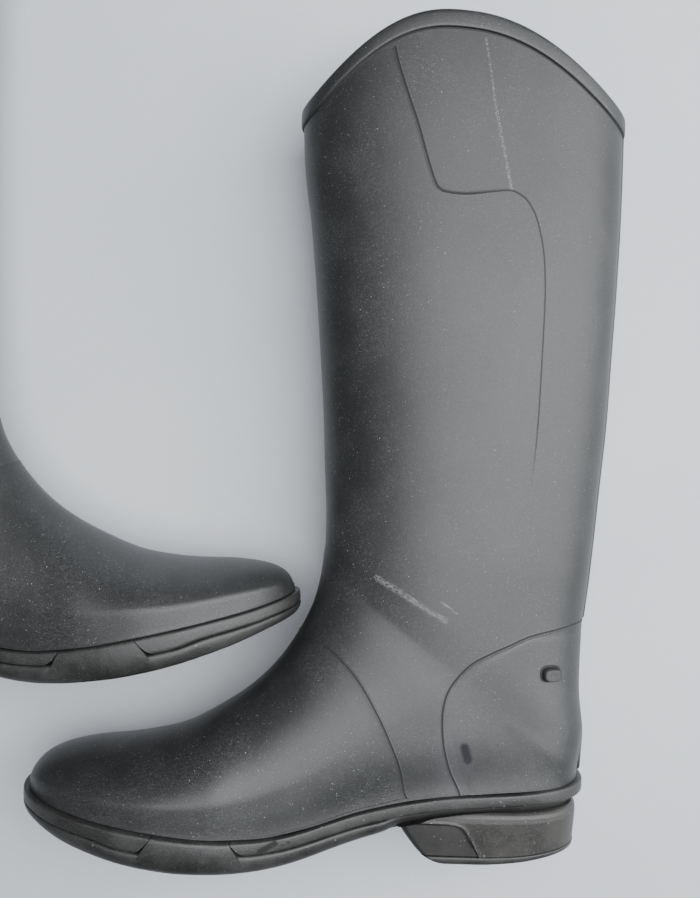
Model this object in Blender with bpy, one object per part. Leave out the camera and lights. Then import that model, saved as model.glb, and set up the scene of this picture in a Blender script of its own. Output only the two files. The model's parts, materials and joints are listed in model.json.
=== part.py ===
"""A pair of tall rubber riding boots lying on their inner sides, left boot and right boot.

Each boot is modelled upright in its own millimetre frame: x forward from the back of the heel,
y towards the outer side, z up from the ground. An empty then lays it down on its inner side.
"""

import math

import bmesh
import bpy
import numpy as np
from mathutils import Vector

MM = 0.001

# driving sizes of one boot, millimetres
SOLE_LENGTH = 290.0
TOP_FRONT = 382.0        # height of the top line at the shin and at the back seam
OUTER_PEAK = 40.5        # rise of the top line on the outer side
INNER_PEAK = 8.0         # rise of the top line on the inner side
PEAK_ANGLE = math.radians(83)
TOP_SHARPNESS = 2.8      # how quickly the top line climbs to its peak
BINDING_HEIGHT = 11.5
BINDING_RISE = 1.2       # how far the top binding stands out from the leg
PANEL = 0.8              # thickness of the raised panels
BEAD = 0.9               # thickness of the back stay and the piping
RUBBER = 3.0             # wall of the boot
LINING = 1.3             # bonded textile
GAP = 0.3                # between touching pieces
WELT_INSET = 3.0         # the upper stands this far inside the sole's edge
BED = 1.2                # cement between the upper and the sole
INNER_SIDE = 50.0        # distance from the boot's centre plane to the surface it lies on
SEAM_CLEARANCE = 1.0     # under a raised panel, because both it and the wall are faceted
STRIP_HEIGHT = 6.0       # of the strips round the sole's edge, above the outsole
STRIP_WIDTH = 4.5
TOP_PIECE = 4.0          # the heel's wearing layer
COLUMNS = 26             # facets around the boot

# the flexing ankle zone, as station numbers, and its axis (x, z)
FOOT_TOP = 19
LEG_BOTTOM = 21
ANKLE_AXIS = (66.0, 168.0)
FOOTBED_AXIS_X = 272.0
FOOTBED_LEVEL = 8.9      # underside of the footbed above the sole's top face

# how the boots lie: where the heel's ground point is, and the turn about the vertical
LEFT_PLACE = (0.2432, -0.2465)
RIGHT_PLACE = (-0.1913, -0.1834)
RIGHT_TURN = math.radians(8.0)

# stations of the upper from toe to top: front point x, z; back point x, z (None follows the
# sole); centre y; half width (None follows the sole); widest place; front and back roundness
STATIONS = (
    (287.5, 28.0, 287.5, None, -4.5, None, 0.40, 2.2, 3.0),
    (285.3, 33.2, 285.3, None, -4.4, None, 0.36, 2.2, 3.6),
    (281.0, 37.4, 281.0, None, -4.1, None, 0.33, 2.2, 4.4),
    (273.0, 41.0, 273.0, None, -3.6, None, 0.31, 2.3, 5.0),
    (258.0, 44.7, 258.0, None, -2.6, None, 0.30, 2.3, 5.0),
    (236.0, 47.6, 236.0, None, -1.4, None, 0.30, 2.3, 5.0),
    (212.0, 53.8, 212.0, None, -0.6, None, 0.30, 2.2, 5.0),
    (190.0, 65.5, 188.0, None, -0.4, None, 0.29, 2.1, 5.0),
    (173.0, 77.7, 166.0, None, -0.4, 42.5, 0.29, 2.0, 5.0),
    (160.0, 91.0, 142.0, None, -0.8, 39.5, 0.30, 2.0, 5.0),
    (151.5, 103.5, 116.0, None, -1.3, 37.0, 0.33, 2.0, 4.6),
    (146.0, 114.0, 88.0, None, -2.0, 35.5, 0.36, 2.0, 4.2),
    (142.5, 123.0, 60.0, None, -2.8, 34.8, 0.40, 2.0, 3.8),
    (140.6, 131.0, 32.0, None, -3.6, 34.4, 0.44, 2.0, 3.2),
    (139.4, 138.5, 12.0, None, -4.6, 34.2, 0.47, 2.0, 2.7),
    (138.8, 144.0, 3.4, 40.0, -5.6, 34.3, 0.48, 2.1, 2.5),
    (138.3, 149.0, 1.5, 62.0, -6.8, 34.8, 0.48, 2.1, 2.4),
    (138.0, 153.5, 2.2, 86.0, -8.2, 35.4, 0.48, 2.1, 2.3),
    (138.0, 158.0, 1.5, 110.0, -9.6, 36.0, 0.48, 2.1, 2.2),
    (138.0, 163.0, -1.2, 136.0, -11.0, 36.6, 0.48, 2.1, 2.2),
    (138.6, 175.0, -3.2, 158.0, -12.0, 37.2, 0.48, 2.1, 2.2),
    (139.6, 188.0, -5.2, 182.0, -12.4, 37.6, 0.48, 2.1, 2.2),
    (142.0, 222.0, -8.6, 222.0, -12.0, 38.0, 0.48, 2.1, 2.2),
    (145.0, 255.0, -10.0, 256.0, -11.7, 38.3, 0.48, 2.2, 2.2),
    (148.0, 288.0, -11.4, 290.0, -11.6, 38.4, 0.49, 2.2, 2.2),
    (152.0, 322.0, -12.0, 323.0, -11.8, 38.2, 0.50, 2.2, 2.2),
    (156.5, 352.0, -12.0, 352.0, -11.5, 37.7, 0.50, 2.2, 2.2),
    (158.3, 382.0, -12.0, 382.0, -11.2, 37.5, 0.50, 2.2, 2.2),
    (158.8, 430.0, -11.5, 430.0, -11.2, 37.5, 0.50, 2.2, 2.2),
)

# the sole, as x against a value
UNDERSIDE = ((0, 26.5), (42, 25.4), (60, 24.1), (80, 21.4), (95, 18.4), (112, 13.2), (129, 8),
             (143, 3.8), (155, 1.2), (167, -0.3), (180, -1), (200, -0.8), (215, 0), (228, 1.2),
             (238, 2.8), (248, 4.7), (259, 7), (268, 9.3), (276, 11.3), (290, 14))
SEAT = ((0, 38.2), (17, 37.9), (42, 36.3), (57, 35.2), (72, 34), (86, 31.8), (101, 28.7),
        (115, 25.2), (130, 21), (144, 17.2), (155, 14.9), (167, 13.7), (179, 13.6), (190, 14.2),
        (204, 15.2), (218, 16.4), (228, 17.2), (238, 18.2), (249, 19.4), (260, 20.4), (269, 21.3),
        (276, 22.3), (290, 24.2))
SOLE_HALF_WIDTH = ((0, 33), (60, 35), (110, 35.5), (150, 42.5), (200, 50), (290, 50))
SOLE_CENTRE = ((0, -1.5), (110, -1), (205, 0), (250, -1.5), (290, -4.5))

# outlines on the upper: vamp edge as station against angle, counter edge as x against height
VAMP_EDGE = ((0, 10.0), (25, 11.1), (45, 11.4), (70, 11.5), (100, 11.35), (125, 11.1))
COUNTER_EDGE = ((46, 72), (54, 74.6), (66, 75.8), (81, 73.5), (92, 66), (100, 56), (107, 44),
                (112, 30), (116, 16))
PIPING_PATH = ((110, 394), (99, 365), (90.5, 339), (84, 332), (74, 331), (53, 333.5),
               (43, 328), (36.5, 315), (33, 290), (33, 250), (34, 214), (36, 192))
PLATE_FROM_X = 175.0
PLATE_TO_X = 216.5
INNER_JOINT_X = 150.0
SPUR_REST_CENTRE = (22.8, 94.3)
SPUR_REST_SIZE = (10.0, 7.0, 3.0)
SHANK_FROM_X = 62.0
SHANK_TO_X = 168.0
SHANK_HALF_WIDTH = 7.0
SHANK_THICKNESS = 1.3

RUBBER_BLACK = (0.035, 0.036, 0.038)
SOLE_BLACK = (0.020, 0.020, 0.021)
LINING_GREY = (0.085, 0.087, 0.092)
FOOTBED_GREY = (0.16, 0.16, 0.17)
BOARD_BROWN = (0.30, 0.24, 0.17)
STEEL_GREY = (0.55, 0.56, 0.57)


def smooth_curve(knots, at):
    """A curve through the knots that doesn't overshoot between them."""
    xs = np.array([k[0] for k in knots], float)
    ys = np.array([k[1] for k in knots], float)
    steps = np.diff(xs)
    slopes = np.diff(ys) / steps
    tangents = np.zeros(len(xs))
    tangents[0], tangents[-1] = slopes[0], slopes[-1]
    for i in range(1, len(xs) - 1):
        before, after = slopes[i - 1], slopes[i]
        if before * after > 0:
            w1 = 2 * steps[i] + steps[i - 1]
            w2 = steps[i] + 2 * steps[i - 1]
            tangents[i] = (w1 + w2) / (w1 / before + w2 / after)
    at = min(max(at, xs[0]), xs[-1])
    i = min(int(np.searchsorted(xs, at, side="right")) - 1, len(steps) - 1)
    h = steps[i]
    t = (at - xs[i]) / h
    return float(ys[i] * (1 + 2 * t) * (1 - t) ** 2 + h * tangents[i] * t * (1 - t) ** 2
                 + ys[i + 1] * t * t * (3 - 2 * t) - h * tangents[i + 1] * t * t * (1 - t))


# ---- the sole's plan and levels

def underside(x):
    return smooth_curve(UNDERSIDE, x)


def seat(x):
    """Height of the sole's top face, where the upper starts."""
    return smooth_curve(SEAT, x)


def round_end(reach):
    """Half width against distance into a rounded end, from 1 at its start to 0 at its tip."""
    roundness = 2.3
    return max(0.0, 1 - min(reach, 1.0) ** roundness) ** (1 / roundness)


def sole_half_width(x, inset):
    half = smooth_curve(SOLE_HALF_WIDTH, x) - inset
    toe_start, heel_start = 200.0, 42.0
    if x > toe_start:
        half *= round_end((x - toe_start) / (SOLE_LENGTH - inset - toe_start))
    if x < heel_start:
        half *= round_end((heel_start - x) / (heel_start - inset))
    return half


def plan_point(angle, inset):
    """Point (x, y) of the sole's outline: angle 0 at the toe tip, pi at the back of the heel,
    positive on the outer side."""
    middle = SOLE_LENGTH / 2
    x = middle + (middle - inset) * math.cos(angle)
    half = sole_half_width(x, inset)
    return x, smooth_curve(SOLE_CENTRE, x) + math.copysign(half, angle)


def plan_angle(x, inset):
    middle = SOLE_LENGTH / 2
    return math.acos((x - middle) / (middle - inset))


def plan_loop(inset, level, count=52):
    """Closed loop of the sole's outline; level(x) gives its height."""
    loop = []
    for i in range(count):
        x, y = plan_point(-math.pi + 2 * math.pi * i / count, inset)
        loop.append((x, y, level(x)))
    return loop


# ---- the upper's surface

def station(s):
    """The section's numbers at station s, between the listed ones smoothly."""
    low = max(0, min(int(s), len(STATIONS) - 2))
    span = range(max(0, low - 1), min(len(STATIONS), low + 3))
    values = []
    for column in range(9):
        knots = [(i, filled(i, column)) for i in span]
        values.append(smooth_curve(knots, s))
    return values


def filled(i, column):
    value = STATIONS[i][column]
    if value is None and column == 3:
        return seat(STATIONS[i][2]) + BED
    if value is None:
        return sole_half_width(STATIONS[i][2], WELT_INSET)
    return value


def upper_point(s, angle, depth):
    """Point of the upper at station s, depth millimetres under its outer face. Angle 0 is the
    front or top, pi the back or bottom, and positive angles are the outer side."""
    fx, fz, bx, bz, centre, half, widest, front_round, back_round = station(s)
    toe_shift = max(0.0, 1 - s / 5.0) * depth
    fx, bx = fx - toe_shift, bx - toe_shift
    back, front = Vector((bx, bz)), Vector((fx, fz))
    length = (front - back).length
    along = (front - back) / length
    back = back + along * depth
    length = length - 2 * depth
    half = half - depth
    cosine, sine = math.cos(angle), math.sin(angle)
    roundness = front_round if cosine > 0 else back_round
    reach = abs(cosine) ** (2 / roundness)
    across = math.copysign(abs(sine) ** (2 / roundness), sine) * half
    if cosine > 0:
        rise = widest + (1 - widest) * reach
    else:
        rise = widest * (1 - reach)
    point = back + along * (rise * length)
    return point.x, centre + across, point.y


def angle_of_fraction(s, fraction):
    """Angle whose point lies at this fraction of the section, from back to front."""
    widest, front_round, back_round = station(s)[6:]
    if fraction > widest:
        reach = (fraction - widest) / (1 - widest)
        return math.acos(min(1.0, reach) ** (front_round / 2))
    reach = 1 - fraction / widest
    return math.pi - math.acos(min(1.0, reach) ** (back_round / 2))


def on_upper(x, z):
    """Station and angle of the outer side's point whose side view is (x, z)."""
    low, high = 0.0, len(STATIONS) - 1.0
    for _ in range(40):
        middle = (low + high) / 2
        fx, fz, bx, bz = station(middle)[:4]
        if (fx - bx) * (z - bz) - (fz - bz) * (x - bx) > 0:
            low = middle
        else:
            high = middle
    fx, fz, bx, bz = station(low)[:4]
    fraction = math.hypot(x - bx, z - bz) / math.hypot(fx - bx, fz - bz)
    return low, angle_of_fraction(low, fraction)


def back_line(z):
    """Where the back of the heel and ankle stands at a height."""
    return smooth_curve([(STATIONS[i][3], STATIONS[i][2]) for i in range(15, 22)], z)


def top_line(angle):
    """Height of the boot's top edge: a tall peak outside, a low one inside."""
    turn = abs(angle)
    if turn < PEAK_ANGLE:
        turn *= math.pi / 2 / PEAK_ANGLE
    else:
        turn = math.pi - (math.pi - turn) * math.pi / 2 / (math.pi - PEAK_ANGLE)
    peak = OUTER_PEAK if angle > 0 else INNER_PEAK
    return TOP_FRONT + peak * max(0.0, math.sin(turn)) ** TOP_SHARPNESS


def station_at_height(angle, height):
    """Station in the leg where the wall at this angle reaches a height."""
    low, high = float(LEG_BOTTOM), len(STATIONS) - 1.0
    for _ in range(30):
        middle = (low + high) / 2
        if upper_point(middle, angle, 0)[2] < height:
            low = middle
        else:
            high = middle
    return low


def ring_angles(columns=COLUMNS):
    return [-math.pi + 2 * math.pi * (i + 0.5) / columns for i in range(columns)]


# ---- making solids

def new_object(name, points, faces, colour, roughness, metallic, boot, origin):
    """A closed solid from points in the boot's frame, with its faces pointing out."""
    mesh = bpy.data.meshes.new(name)
    start = Vector(origin)
    moved = [(Vector((p[0], p[1] * boot["side"], p[2])) - start) * MM for p in points]
    mesh.from_pydata(moved, [], faces)
    work = bmesh.new()
    work.from_mesh(mesh)
    bmesh.ops.recalc_face_normals(work, faces=work.faces[:])
    work.to_mesh(mesh)
    work.free()
    mesh.shade_smooth()
    mesh.set_sharp_from_angle(angle=math.radians(40))
    piece = bpy.data.objects.new(boot["name"] + "_" + name, mesh)
    bpy.context.scene.collection.objects.link(piece)
    piece.parent = boot["empties"][origin]
    mesh.materials.append(make_material(piece.name, colour, roughness, metallic))
    return piece


def make_material(name, colour, roughness, metallic):
    material = bpy.data.materials.new(name)
    material.use_nodes = True
    shader = material.node_tree.nodes["Principled BSDF"]
    shader.inputs["Base Color"].default_value = (*colour, 1.0)
    shader.inputs["Roughness"].default_value = roughness
    shader.inputs["Metallic"].default_value = metallic
    return material


def slab(lower, upper, closed=False):
    """Solid between two grids of points; closed joins each row's ends into a ring."""
    rows, columns = len(lower), len(lower[0])
    points = [p for row in lower for p in row] + [p for row in upper for p in row]
    top = rows * columns
    faces = []
    spans = columns if closed else columns - 1
    for r in range(rows - 1):
        for c in range(spans):
            d = (c + 1) % columns
            a, b, f, e = r * columns + c, r * columns + d, (r + 1) * columns + c, (r + 1) * columns + d
            faces.append((a, b, e, f))
            faces.append((top + a, top + f, top + e, top + b))
    for r in (0, rows - 1):
        for c in range(spans):
            a, b = r * columns + c, r * columns + (c + 1) % columns
            faces.append((a, top + a, top + b, b))
    if not closed:
        for c in (0, columns - 1):
            for r in range(rows - 1):
                a, b = r * columns + c, (r + 1) * columns + c
                faces.append((a, b, top + b, top + a))
    return points, faces


def pocket(outer, inner):
    """Solid of a sock: an outer and an inner grid of rings, whose first rings are its tip."""
    rows, columns = len(outer), len(outer[0])
    points = [p for row in outer for p in row] + [p for row in inner for p in row]
    top = rows * columns
    faces = [tuple(range(columns)), tuple(range(top, top + columns))]
    for r in range(rows - 1):
        for c in range(columns):
            d = (c + 1) % columns
            a, b, e, f = r * columns + c, r * columns + d, (r + 1) * columns + d, (r + 1) * columns + c
            faces.append((a, b, e, f))
            faces.append((top + a, top + f, top + e, top + b))
    last = (rows - 1) * columns
    for c in range(columns):
        a, b = last + c, last + (c + 1) % columns
        faces.append((a, b, top + b, top + a))
    return points, faces


def loft(loops):
    """Solid through plan loops, each capped across from inner to outer side."""
    count = len(loops[0])
    points = [p for loop in loops for p in loop]
    faces = []
    for k in range(len(loops) - 1):
        for i in range(count):
            j = (i + 1) % count
            faces.append((k * count + i, k * count + j, (k + 1) * count + j, (k + 1) * count + i))
    half = count // 2
    for first in (0, (len(loops) - 1) * count):
        faces.append((first, first + 1, first + count - 1))
        for i in range(1, half - 1):
            faces.append((first + i, first + i + 1, first + count - i - 1, first + count - i))
        faces.append((first + half - 1, first + half, first + half + 1))
    return points, faces


# ---- pieces of the upper

def wall_rings(stations, angles, depth):
    return [[upper_point(s, a, depth) for a in angles] for s in stations]


def leg_rings(low_drop, high_drop, rows, depth):
    """Rings from the leg's bottom, or from a drop under the top line, up to another drop."""
    angles = ring_angles()
    grid = []
    for r in range(rows):
        ring = []
        for a in angles:
            start = LEG_BOTTOM
            if low_drop is not None:
                start = station_at_height(a, top_line(a) - low_drop)
            end = station_at_height(a, top_line(a) - high_drop)
            ring.append(upper_point(start + (end - start) * r / (rows - 1), a, depth))
        grid.append(ring)
    return grid


def make_leg(boot):
    pivot = boot["ankle"]
    points, faces = slab(leg_rings(None, BINDING_HEIGHT + GAP, 8, 0),
                         leg_rings(None, BINDING_HEIGHT + GAP, 8, RUBBER), closed=True)
    new_object("shaft", points, faces, RUBBER_BLACK, 0.42, 0, boot, pivot)
    points, faces = slab(leg_rings(BINDING_HEIGHT, 0, 2, -BINDING_RISE),
                         leg_rings(BINDING_HEIGHT, 0, 2, RUBBER), closed=True)
    new_object("top_binding", points, faces, RUBBER_BLACK, 0.4, 0, boot, pivot)
    inner = RUBBER + GAP
    points, faces = slab(leg_rings(None, 2.0, 7, inner),
                         leg_rings(None, 2.0, 7, inner + LINING), closed=True)
    new_object("leg_lining", points, faces, LINING_GREY, 0.9, 0, boot, pivot)


def make_ankle(boot):
    stations = [FOOT_TOP + 0.02, FOOT_TOP + 0.7, FOOT_TOP + 1.35, LEG_BOTTOM - 0.02]
    angles = ring_angles()
    points, faces = slab(wall_rings(stations, angles, 0),
                         wall_rings(stations, angles, RUBBER + GAP + LINING), closed=True)
    new_object("ankle_flex", points, faces, RUBBER_BLACK, 0.42, 0, boot, boot["base"])


def make_foot(boot):
    stations = list(range(FOOT_TOP + 1))
    angles = ring_angles()
    points, faces = pocket(wall_rings(stations, angles, 0), wall_rings(stations, angles, RUBBER))
    new_object("foot_shell", points, faces, RUBBER_BLACK, 0.42, 0, boot, boot["base"])
    inner = RUBBER + GAP
    stations = stations[1:]
    points, faces = pocket(wall_rings(stations, angles, inner),
                           wall_rings(stations, angles, inner + LINING))
    new_object("foot_lining", points, faces, LINING_GREY, 0.9, 0, boot, boot["base"])


def make_vamp(boot):
    """Raised front panel over the toe, back to a curved edge across the instep."""
    limit, columns, rows = 108, 18, 11
    lower, upper = [], []
    for r in range(rows):
        share = r / (rows - 1)
        low_row, high_row = [], []
        for c in range(columns + 1):
            degrees = -limit + 2 * limit * c / columns
            end = smooth_curve(VAMP_EDGE, abs(degrees))
            s = 1 + (end - 1) * share
            low_row.append(upper_point(s, math.radians(degrees), -SEAM_CLEARANCE))
            high_row.append(upper_point(s, math.radians(degrees), -SEAM_CLEARANCE - PANEL))
        lower.append(low_row)
        upper.append(high_row)
    points, faces = slab(lower, upper)
    new_object("vamp_panel", points, faces, RUBBER_BLACK, 0.4, 0, boot, boot["base"])


def make_counter(boot):
    """Stiffening panel round the back of the heel, from its outer edge to its inner one."""
    rows, columns = 14, 10
    low, high = COUNTER_EDGE[0][0], COUNTER_EDGE[-1][0]
    lower, upper = [], []
    for r in range(rows):
        z = low + (high - low) * math.sin(math.pi / 2 * r / (rows - 1))
        edge, back = smooth_curve(COUNTER_EDGE, z), back_line(z)
        spots = []
        for c in range(columns):
            reach = (1 - math.sin(math.pi / 2 * c / columns)) ** 1.4
            spots.append(on_upper(back + (edge - back) * reach, z))
        spots += [(on_upper(back, z)[0], math.pi)] + [(s, -a) for s, a in reversed(spots)]
        lower.append([upper_point(s, a, -SEAM_CLEARANCE - GAP) for s, a in spots])
        upper.append([upper_point(s, a, -SEAM_CLEARANCE - GAP - PANEL) for s, a in spots])
    points, faces = slab(lower, upper)
    new_object("heel_counter", points, faces, RUBBER_BLACK, 0.4, 0, boot, boot["base"])


def make_back_stay(boot):
    """Narrow strip up the back seam of the leg."""
    half = math.radians(11)
    lower, upper = [], []
    rows = 8
    end = station_at_height(math.pi, TOP_FRONT - BINDING_HEIGHT - 2.0)
    for r in range(rows):
        s = LEG_BOTTOM + (end - LEG_BOTTOM) * r / (rows - 1)
        angles = [math.pi - half, math.pi - half / 3, -math.pi + half / 3, -math.pi + half]
        lower.append([upper_point(s, a, -SEAM_CLEARANCE) for a in angles])
        upper.append([upper_point(s, a, -SEAM_CLEARANCE - BEAD) for a in angles])
    points, faces = slab(lower, upper)
    new_object("back_stay", points, faces, RUBBER_BLACK, 0.4, 0, boot, boot["ankle"])


def make_piping(boot):
    """Raised bead that outlines the calf panel on the outer side."""
    half = 1.0
    path = [Vector(p) for p in PIPING_PATH]
    lower, upper = [], []
    for i, p in enumerate(path):
        ahead = path[min(i + 1, len(path) - 1)] - path[max(i - 1, 0)]
        side = Vector((-ahead.y, ahead.x)).normalized() * half
        spots = [on_upper(*(p - side)), on_upper(*(p + side))]
        lower.append([upper_point(s, a, -SEAM_CLEARANCE) for s, a in spots])
        upper.append([upper_point(s, a, -SEAM_CLEARANCE - BEAD) for s, a in spots])
    points, faces = slab(lower, upper)
    new_object("calf_piping", points, faces, RUBBER_BLACK, 0.4, 0, boot, boot["ankle"])


def make_spur_rest(boot):
    """Small oblong block above the heel that keeps a spur strap up."""
    length, height, rise = SPUR_REST_SIZE
    under = SEAM_CLEARANCE + PANEL + 3 * GAP
    lower, upper = [], []
    middle_x, middle_z = SPUR_REST_CENTRE
    for share_z in (-0.5, 0.0, 0.5):
        spots = [on_upper(middle_x + length * share_x, middle_z + height * share_z)
                 for share_x in (-0.5, 0.0, 0.5)]
        lower.append([upper_point(s, a, -under) for s, a in spots])
        upper.append([upper_point(s, a, -under - rise) for s, a in spots])
    points, faces = slab(lower, upper)
    new_object("spur_rest", points, faces, RUBBER_BLACK, 0.4, 0, boot, boot["base"])


# ---- pieces inside the foot

def make_insole(boot):
    floor = BED + RUBBER + GAP + LINING + GAP
    board_top = FOOTBED_LEVEL - GAP
    points, faces = loft([plan_loop(22, lambda x: seat(x) + floor + 0.6, 36),
                          plan_loop(17, lambda x: seat(x) + board_top, 36)])
    new_object("insole_board", points, faces, BOARD_BROWN, 0.8, 0, boot, boot["base"])
    points, faces = loft([plan_loop(17, lambda x: seat(x) + FOOTBED_LEVEL, 36),
                          plan_loop(15, lambda x: seat(x) + FOOTBED_LEVEL + 3.2, 36)])
    new_object("footbed", points, faces, FOOTBED_GREY, 0.95, 0, boot, boot["footbed"])


def shank_grids(grow):
    lower, upper = [], []
    rows = 8
    for r in range(rows):
        x = SHANK_FROM_X - grow + (SHANK_TO_X - SHANK_FROM_X + 2 * grow) * r / (rows - 1)
        half = SHANK_HALF_WIDTH + grow
        top = seat(x) - GAP + (3.0 if grow else 0.0)
        bottom = seat(x) - GAP - SHANK_THICKNESS - grow
        lower.append([(x, -half, bottom), (x, half, bottom)])
        upper.append([(x, -half, top), (x, half, top)])
    return lower, upper


def make_midsole(boot):
    """Core of the sole inside the welt, with a pocket for the shank in its top."""
    inset = STRIP_WIDTH + 4 * GAP
    points, faces = loft([plan_loop(inset, lambda x: seat(x) - STRIP_HEIGHT),
                          plan_loop(inset, seat)])
    midsole = new_object("midsole", points, faces, SOLE_BLACK, 0.6, 0, boot, boot["base"])
    points, faces = slab(*shank_grids(GAP))
    cutter = new_object("shank_pocket", points, faces, SOLE_BLACK, 0.6, 0, boot, boot["base"])
    cutter.hide_render = True
    cutter.display_type = "WIRE"
    cut = midsole.modifiers.new("shank_pocket", "BOOLEAN")
    cut.operation = "DIFFERENCE"
    cut.object = cutter
    points, faces = slab(*shank_grids(0.0))
    new_object("shank", points, faces, STEEL_GREY, 0.4, 1.0, boot, boot["base"])


# ---- the sole

def make_outsole(boot):
    split = STRIP_HEIGHT + 2 * GAP
    points, faces = loft([plan_loop(3.0, underside),
                          plan_loop(0.8, lambda x: underside(x) + 1.5),
                          plan_loop(0.0, lambda x: underside(x) + 3.5),
                          plan_loop(0.3, lambda x: seat(x) - split)])
    new_object("outsole", points, faces, SOLE_BLACK, 0.6, 0, boot, boot["base"])


def make_welt(boot):
    joint = GAP / SOLE_LENGTH * 2
    front, rear = plan_angle(PLATE_TO_X, 0.3), plan_angle(PLATE_FROM_X, 0.3)
    inner = -plan_angle(INNER_JOINT_X, 0.3)
    spans = (("welt_front", front - joint, inner + joint, 30),
             ("side_plate", rear - joint, front + joint, 6),
             ("welt_rear", rear + joint, 2 * math.pi + inner - joint, 32))
    for name, first, last, count in spans:
        lower, upper = [], []
        for i in range(count + 1):
            angle = first + (last - first) * i / count
            angle = angle if angle <= math.pi else angle - 2 * math.pi
            spots = [plan_point(angle, 0.3), plan_point(angle, 0.3 + STRIP_WIDTH)]
            lower.append([(x, y, seat(x) - STRIP_HEIGHT) for x, y in spots])
            upper.append([(x, y, seat(x)) for x, y in spots])
        points, faces = slab(lower, upper)
        new_object(name, points, faces, SOLE_BLACK, 0.5, 0, boot, boot["base"])


def heel_solid(levels):
    """Solid through the heel's loops; each level is inset, front x and height."""
    rows_outer, rows_inner = [], []
    count = 13
    for inset, front, z in levels:
        outer, inner = [], []
        for i in range(count + 1):
            share = min(i, count - 0.35) / count
            x = inset + (front - inset) * (1 - math.sin(math.pi / 2 * share))
            half = sole_half_width(x, inset)
            centre = smooth_curve(SOLE_CENTRE, x)
            level = min(z, underside(x) - 2 * GAP)
            outer.append((x, centre + half, level))
            inner.append((x, centre - half, level))
        rows_outer.append(outer)
        rows_inner.append(inner)
    return slab(rows_outer, rows_inner)


def make_heel(boot):
    points, faces = heel_solid(((1.5, 98, underside(0)), (2.6, 94, 15.5), (3.2, 89, 10),
                                (3.4, 84.5, TOP_PIECE + GAP)))
    new_object("heel_block", points, faces, SOLE_BLACK, 0.5, 0, boot, boot["base"])
    points, faces = heel_solid(((3.2, 84, TOP_PIECE), (3.2, 80, 1.2), (3.8, 76, 0)))
    new_object("heel_top_piece", points, faces, SOLE_BLACK, 0.7, 0, boot, boot["base"])


# ---- the two boots

def add_empty(name, parent, location):
    empty = bpy.data.objects.new(name, None)
    bpy.context.scene.collection.objects.link(empty)
    empty.parent = parent
    empty.location = location
    return empty


def make_boot(name, side, place, turn):
    """One boot, laid down on its inner side with the outer side up."""
    base, ankle = (0.0, 0.0, 0.0), (ANKLE_AXIS[0], 0.0, ANKLE_AXIS[1])
    footbed = (FOOTBED_AXIS_X, 0.0, seat(FOOTBED_AXIS_X) + FOOTBED_LEVEL)
    lying = add_empty(name + "_boot", None, (*place, INNER_SIDE * MM))
    lying.rotation_euler = (side * math.pi / 2, 0.0, turn)
    empties = {base: lying}
    for label, spot in (("ankle_axis", ankle), ("footbed_axis", footbed)):
        empties[spot] = add_empty(name + "_" + label, lying, [v * MM for v in spot])
    boot = {"name": name, "side": side, "empties": empties,
            "base": base, "ankle": ankle, "footbed": footbed}
    for make in (make_leg, make_ankle, make_foot, make_vamp, make_counter, make_back_stay,
                 make_piping, make_spur_rest, make_insole, make_midsole, make_outsole,
                 make_welt, make_heel):
        make(boot)


def main():
    for old in list(bpy.data.objects):
        bpy.data.objects.remove(old)
    make_boot("left", 1, LEFT_PLACE, math.pi)
    make_boot("right", -1, RIGHT_PLACE, RIGHT_TURN)


main()
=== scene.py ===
"""The looks of a pair of tall rubber riding boots that lie on their inner sides.

Every piece is shaped upright in its boot's own frame, in millimetres: x forward from the back of the
heel, y towards the outer side, z up from the ground. It is then laid down where the frame's joints
say that the boot lies. The surface follows the CAD model's, with finer stations.
"""

import json
import math

import bmesh
import bpy
import numpy as np
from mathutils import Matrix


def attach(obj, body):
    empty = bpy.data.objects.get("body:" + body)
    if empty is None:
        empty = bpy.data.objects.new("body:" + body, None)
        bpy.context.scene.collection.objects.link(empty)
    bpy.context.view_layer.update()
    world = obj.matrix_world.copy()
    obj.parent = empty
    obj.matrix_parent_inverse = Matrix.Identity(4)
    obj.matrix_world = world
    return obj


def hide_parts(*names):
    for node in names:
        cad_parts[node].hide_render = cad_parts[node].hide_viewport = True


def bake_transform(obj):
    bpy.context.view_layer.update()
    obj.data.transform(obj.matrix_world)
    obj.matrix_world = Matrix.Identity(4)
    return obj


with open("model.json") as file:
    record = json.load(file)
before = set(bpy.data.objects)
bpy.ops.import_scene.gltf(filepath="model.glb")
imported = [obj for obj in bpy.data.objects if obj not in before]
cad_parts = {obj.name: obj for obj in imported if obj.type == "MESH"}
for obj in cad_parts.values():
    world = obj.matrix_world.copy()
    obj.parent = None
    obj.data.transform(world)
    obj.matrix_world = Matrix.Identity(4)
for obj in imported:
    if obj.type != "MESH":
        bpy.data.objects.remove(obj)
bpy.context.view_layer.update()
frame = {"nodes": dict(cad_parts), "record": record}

MM = 0.001

# ---- driving sizes of one boot, as in the CAD model except for the rim, which is shorter here

SOLE_LENGTH = 290.0
TOP_FRONT = 382.0
OUTER_PEAK = 40.5
INNER_PEAK = 8.0
PEAK_ANGLE = math.radians(83)
TOP_SHARPNESS = 2.8
BINDING_HEIGHT = 9.2
WELT_INSET = 3.0
BED = 0.4
INNER_SIDE = 50.0
WALL = 3.0
LEG_BOTTOM = 21.0
ANKLE_AXIS = (66.0, 168.0)
FOOTBED_AXIS_X = 272.0
FOOTBED_LEVEL = 8.9
TOP_PIECE = 4.0
HEEL_TOP = 26.2           # of the heel block, above the ground
FLOOR_LEVEL = -0.0004
FLOOR_REACH = 3.0

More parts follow.
